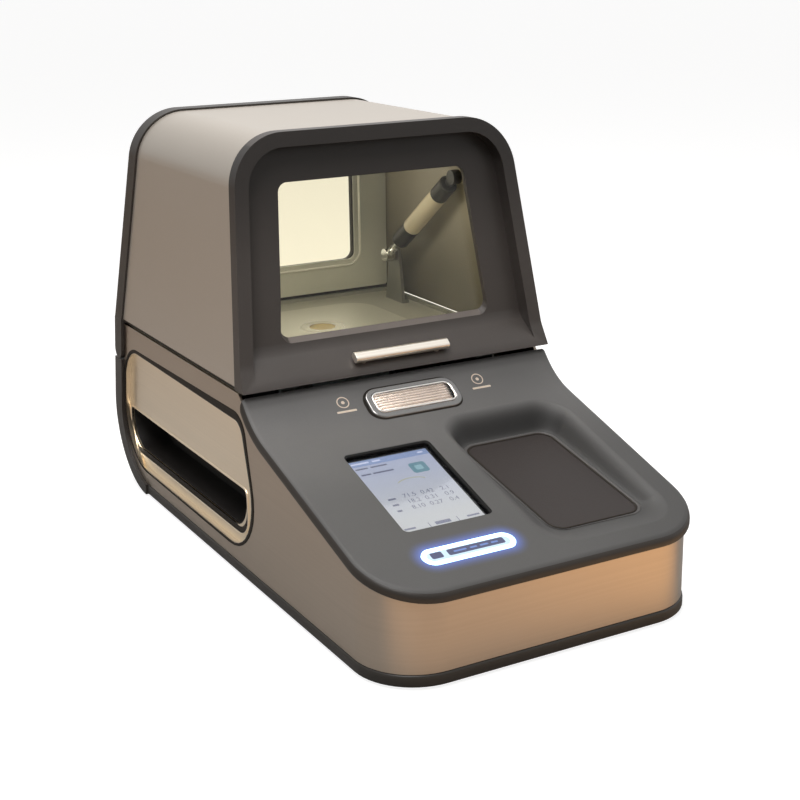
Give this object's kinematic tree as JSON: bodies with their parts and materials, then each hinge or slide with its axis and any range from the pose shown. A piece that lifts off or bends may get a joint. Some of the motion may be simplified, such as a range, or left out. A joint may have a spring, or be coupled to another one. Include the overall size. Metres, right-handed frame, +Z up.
{
  "type": "benchtop x-ray fluorescence analyzer",
  "caption": "Benchtop XRF analyzer with a sloping console, display, sample tray and hand slots, and a windowed hood hinged at the rear over the sample chamber.",
  "frame": {"origin": "middle of the footprint, on the surface the feet stand on", "axes": "+X to the right seen from the front, +Y towards the rear, +Z up"},
  "size_m": [0.2448, 0.4574, 0.303],
  "materials": {
    "black_moulding": "satin",
    "grey_moulding": "matte",
    "front_moulding": "satin",
    "brushed_wrap": "brushed",
    "champagne_panel": "satin",
    "hood_paint": "satin",
    "inner_paint": "satin",
    "stage_metal": "satin",
    "black_plastic": "matte",
    "tray_rubber": "matte",
    "sheet_steel": "satin",
    "bright_steel": "polished",
    "zinc_steel": "satin",
    "window_glass": "clear",
    "screen_glass": "clear",
    "screen_face": "lit",
    "diffuser": "lit",
    "film": "thin film",
    "shield_brass": "satin",
    "board_green": "satin",
    "spring_black": "gloss"
  },
  "bodies": {
    "base": {"aperture_film": "film", "aperture_ring": "bright_steel", "base_pan": "sheet_steel", "base_wrap": "brushed_wrap", "bottom_trim": "black_moulding", "camera_module": "board_green", "case_screws": "bright_steel", "chamber_floor": "inner_paint", "chamber_seal": "tray_rubber", "chassis_frame": "sheet_steel", "console_deck": "grey_moulding", "detector": "zinc_steel", "display_bezel": "black_moulding", "display_panel": "screen_face", "fan_housing": "black_plastic", "filter_motor": "zinc_steel", "grip_panel_left": "champagne_panel", "grip_panel_right": "champagne_panel", "grip_pockets": "black_plastic", "hinge_leaves": "zinc_steel", "hinge_pins": "bright_steel", "hv_supply": "sheet_steel", "interlock_switch": "black_plastic", "lamp_lens": "screen_glass", "lamp_reflector": "bright_steel", "lamp_rim": "bright_steel", "light_bar": "diffuser", "light_bar_inlay": "black_moulding", "mainboard": "board_green", "optics_block": "stage_metal", "port_block": "black_plastic", "power_inlet": "black_plastic", "power_supply": "sheet_steel", "power_switch_body": "black_plastic", "rear_panel": "sheet_steel", "rear_shell": "black_moulding", "rubber_feet": "tray_rubber", "spring_bracket": "sheet_steel", "stage_plate": "stage_metal", "touch_glass": "screen_glass", "tray_mat": "tray_rubber", "tube_shield": "shield_brass", "xray_tube": "zinc_steel"},
    "hood": {"hood_skin": "hood_paint", "hood_liner": "inner_paint", "front_frame": "front_moulding", "rear_frame": "black_moulding", "front_window": "window_glass", "front_gasket": "tray_rubber", "rear_window": "window_glass", "rear_gasket": "tray_rubber", "handle_bar": "bright_steel", "interlock_tongue": "zinc_steel", "spring_stud": "bright_steel"},
    "gas_spring_cylinder_body": {"gas_spring_cylinder": "spring_black"},
    "gas_spring_rod_body": {"gas_spring_rod": "bright_steel"},
    "rocker": {"power_rocker": "black_plastic"},
    "impeller": {"fan_impeller": "black_plastic"},
    "filter_disc": {"filter_wheel": "zinc_steel"},
    "plunger": {"interlock_plunger": "bright_steel"}
  },
  "joints": [
    {"name": "hood_hinge", "type": "hinge", "parent": "base", "child": "hood", "pos_m": [0, 0.21313, 0.112], "axis": [-1, 0, 0], "range_deg": [0, 60]},
    {"name": "gas_spring_swing", "type": "hinge", "parent": "hood", "child": "gas_spring_cylinder_body", "pos_m": [0.09497, 0.05073, 0.252], "axis": [-1, 0, 0], "range_deg": [0, 26.93]},
    {"name": "gas_spring_slide", "type": "slide", "parent": "gas_spring_cylinder_body", "child": "gas_spring_rod_body", "axis": [0, 0.8046, -0.5939], "range_m": [0, 0.04683]},
    {"name": "power_rocker_tilt", "type": "hinge", "parent": "base", "child": "rocker", "pos_m": [0.044, 0.18873, 0.07], "axis": [1, 0, 0], "range_deg": [-8, 8]},
    {"name": "fan_spin", "type": "hinge", "parent": "base", "child": "impeller", "pos_m": [-0.044, 0.17973, 0.053], "axis": [0, 1, 0], "continuous": true},
    {"name": "filter_wheel_spin", "type": "hinge", "parent": "base", "child": "filter_disc", "pos_m": [0, 0.08378, 0.10109], "axis": [0, -0.7071, -0.7071], "continuous": true},
    {"name": "interlock_plunger_rise", "type": "slide", "parent": "base", "child": "plunger", "axis": [0, 0, 1], "range_m": [0, 0.003]}
  ],
  "couplings": [
    {"joint": "gas_spring_swing", "follows": "hood_hinge", "ratio": 0.44841},
    {"joint": "gas_spring_slide", "follows": "hood_hinge", "m_per_rad": 0.044702},
    {"joint": "interlock_plunger_rise", "follows": "hood_hinge", "m_per_rad": 0.0028552}
  ]
}
